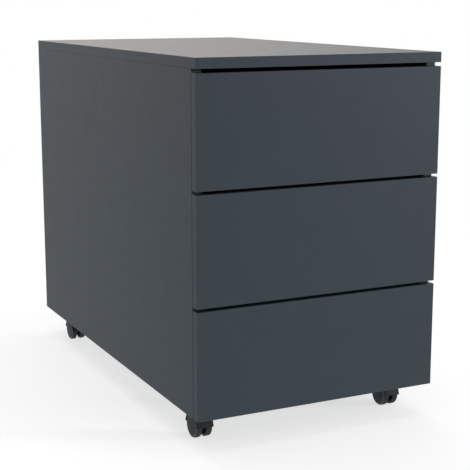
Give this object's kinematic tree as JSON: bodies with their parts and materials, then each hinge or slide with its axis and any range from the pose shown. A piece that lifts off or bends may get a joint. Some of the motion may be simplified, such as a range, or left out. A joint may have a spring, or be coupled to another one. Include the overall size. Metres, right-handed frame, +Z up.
{
  "type": "rolling pedestal cabinet",
  "caption": "Under-desk rolling pedestal cabinet: flush handleless drawers on full-extension slides in a dark board carcass, standing on twin-wheel swivel casters.",
  "frame": {"origin": "on the floor, under the middle of the cabinet", "axes": "+X to the right seen from the front, +Y from the drawer fronts to the back, +Z up; the drawers open towards -Y"},
  "size_m": [0.42, 0.755, 0.5935],
  "materials": {
    "anthracite_board": "16 mm melamine-faced board, plain anthracite, fine satin texture",
    "drawer_box": "12 mm foiled board, graphite grey, satin",
    "zinc_steel": "bright zinc-plated sheet steel",
    "caster_hood": "moulded nylon, dark grey, fine spark-eroded texture",
    "caster_wheel": "moulded nylon, dark grey, satin, scuffed tread"
  },
  "bodies": {
    "carcass": {"top_board": "anthracite_board", "side_board_left": "anthracite_board", "side_board_right": "anthracite_board", "bottom_board": "anthracite_board", "back_board": "anthracite_board", "slide_bottom_left_cabinet_rail": "zinc_steel", "slide_bottom_right_cabinet_rail": "zinc_steel", "slide_middle_left_cabinet_rail": "zinc_steel", "slide_middle_right_cabinet_rail": "zinc_steel", "slide_top_left_cabinet_rail": "zinc_steel", "slide_top_right_cabinet_rail": "zinc_steel", "caster_front_left_plate": "zinc_steel", "caster_front_right_plate": "zinc_steel", "caster_back_left_plate": "zinc_steel", "caster_back_right_plate": "zinc_steel"},
    "drawer_bottom": {"drawer_bottom_front": "anthracite_board", "drawer_bottom_side_left": "drawer_box", "drawer_bottom_side_right": "drawer_box", "drawer_bottom_back_panel": "drawer_box", "drawer_bottom_base_panel": "drawer_box", "slide_bottom_left_drawer_rail": "zinc_steel", "slide_bottom_right_drawer_rail": "zinc_steel"},
    "slide_carriers_bottom": {"slide_bottom_left_carrier_rail": "zinc_steel", "slide_bottom_right_carrier_rail": "zinc_steel"},
    "drawer_middle": {"drawer_middle_front": "anthracite_board", "drawer_middle_side_left": "drawer_box", "drawer_middle_side_right": "drawer_box", "drawer_middle_back_panel": "drawer_box", "drawer_middle_base_panel": "drawer_box", "slide_middle_left_drawer_rail": "zinc_steel", "slide_middle_right_drawer_rail": "zinc_steel"},
    "slide_carriers_middle": {"slide_middle_left_carrier_rail": "zinc_steel", "slide_middle_right_carrier_rail": "zinc_steel"},
    "drawer_top": {"drawer_top_front": "anthracite_board", "drawer_top_side_left": "drawer_box", "drawer_top_side_right": "drawer_box", "drawer_top_back_panel": "drawer_box", "drawer_top_base_panel": "drawer_box", "slide_top_left_drawer_rail": "zinc_steel", "slide_top_right_drawer_rail": "zinc_steel"},
    "slide_carriers_top": {"slide_top_left_carrier_rail": "zinc_steel", "slide_top_right_carrier_rail": "zinc_steel"},
    "caster_front_left_fork": {"caster_front_left_hood": "caster_hood", "caster_front_left_axle": "zinc_steel"},
    "caster_front_left_wheel_left": {"caster_front_left_wheel_left": "caster_wheel"},
    "caster_front_left_wheel_right": {"caster_front_left_wheel_right": "caster_wheel"},
    "caster_front_right_fork": {"caster_front_right_hood": "caster_hood", "caster_front_right_axle": "zinc_steel"},
    "caster_front_right_wheel_left": {"caster_front_right_wheel_left": "caster_wheel"},
    "caster_front_right_wheel_right": {"caster_front_right_wheel_right": "caster_wheel"},
    "caster_back_left_fork": {"caster_back_left_hood": "caster_hood", "caster_back_left_axle": "zinc_steel"},
    "caster_back_left_wheel_left": {"caster_back_left_wheel_left": "caster_wheel"},
    "caster_back_left_wheel_right": {"caster_back_left_wheel_right": "caster_wheel"},
    "caster_back_right_fork": {"caster_back_right_hood": "caster_hood", "caster_back_right_axle": "zinc_steel"},
    "caster_back_right_wheel_left": {"caster_back_right_wheel_left": "caster_wheel"},
    "caster_back_right_wheel_right": {"caster_back_right_wheel_right": "caster_wheel"}
  },
  "joints": [
    {"name": "drawer_bottom_slide", "type": "slide", "parent": "carcass", "child": "drawer_bottom", "axis": [0, -1, 0], "range_m": [0, 0.6]},
    {"name": "slide_carriers_bottom_slide", "type": "slide", "parent": "carcass", "child": "slide_carriers_bottom", "axis": [0, -1, 0], "range_m": [0, 0.3]},
    {"name": "drawer_middle_slide", "type": "slide", "parent": "carcass", "child": "drawer_middle", "axis": [0, -1, 0], "range_m": [0, 0.6]},
    {"name": "slide_carriers_middle_slide", "type": "slide", "parent": "carcass", "child": "slide_carriers_middle", "axis": [0, -1, 0], "range_m": [0, 0.3]},
    {"name": "drawer_top_slide", "type": "slide", "parent": "carcass", "child": "drawer_top", "axis": [0, -1, 0], "range_m": [0, 0.6]},
    {"name": "slide_carriers_top_slide", "type": "slide", "parent": "carcass", "child": "slide_carriers_top", "axis": [0, -1, 0], "range_m": [0, 0.3]},
    {"name": "caster_front_left_swivel", "type": "hinge", "parent": "carcass", "child": "caster_front_left_fork", "pos_m": [-0.1723, -0.2943, 0.045], "axis": [0, 0, 1], "continuous": true},
    {"name": "caster_front_left_wheel_left_spin", "type": "hinge", "parent": "caster_front_left_fork", "child": "caster_front_left_wheel_left", "pos_m": [-0.1816, -0.3003, 0.02], "axis": [1, 0, 0], "continuous": true},
    {"name": "caster_front_left_wheel_right_spin", "type": "hinge", "parent": "caster_front_left_fork", "child": "caster_front_left_wheel_right", "pos_m": [-0.163, -0.3003, 0.02], "axis": [1, 0, 0], "continuous": true},
    {"name": "caster_front_right_swivel", "type": "hinge", "parent": "carcass", "child": "caster_front_right_fork", "pos_m": [0.1723, -0.2943, 0.045], "axis": [0, 0, 1], "continuous": true},
    {"name": "caster_front_right_wheel_left_spin", "type": "hinge", "parent": "caster_front_right_fork", "child": "caster_front_right_wheel_left", "pos_m": [0.163, -0.3003, 0.02], "axis": [1, 0, 0], "continuous": true},
    {"name": "caster_front_right_wheel_right_spin", "type": "hinge", "parent": "caster_front_right_fork", "child": "caster_front_right_wheel_right", "pos_m": [0.1816, -0.3003, 0.02], "axis": [1, 0, 0], "continuous": true},
    {"name": "caster_back_left_swivel", "type": "hinge", "parent": "carcass", "child": "caster_back_left_fork", "pos_m": [-0.1723, 0.3105, 0.045], "axis": [0, 0, 1], "continuous": true},
    {"name": "caster_back_left_wheel_left_spin", "type": "hinge", "parent": "caster_back_left_fork", "child": "caster_back_left_wheel_left", "pos_m": [-0.1816, 0.3045, 0.02], "axis": [1, 0, 0], "continuous": true},
    {"name": "caster_back_left_wheel_right_spin", "type": "hinge", "parent": "caster_back_left_fork", "child": "caster_back_left_wheel_right", "pos_m": [-0.163, 0.3045, 0.02], "axis": [1, 0, 0], "continuous": true},
    {"name": "caster_back_right_swivel", "type": "hinge", "parent": "carcass", "child": "caster_back_right_fork", "pos_m": [0.1723, 0.3105, 0.045], "axis": [0, 0, 1], "continuous": true},
    {"name": "caster_back_right_wheel_left_spin", "type": "hinge", "parent": "caster_back_right_fork", "child": "caster_back_right_wheel_left", "pos_m": [0.163, 0.3045, 0.02], "axis": [1, 0, 0], "continuous": true},
    {"name": "caster_back_right_wheel_right_spin", "type": "hinge", "parent": "caster_back_right_fork", "child": "caster_back_right_wheel_right", "pos_m": [0.1816, 0.3045, 0.02], "axis": [1, 0, 0], "continuous": true}
  ],
  "couplings": [
    {"joint": "slide_carriers_bottom_slide", "follows": "drawer_bottom_slide", "ratio": 0.5},
    {"joint": "slide_carriers_middle_slide", "follows": "drawer_middle_slide", "ratio": 0.5},
    {"joint": "slide_carriers_top_slide", "follows": "drawer_top_slide", "ratio": 0.5}
  ]
}
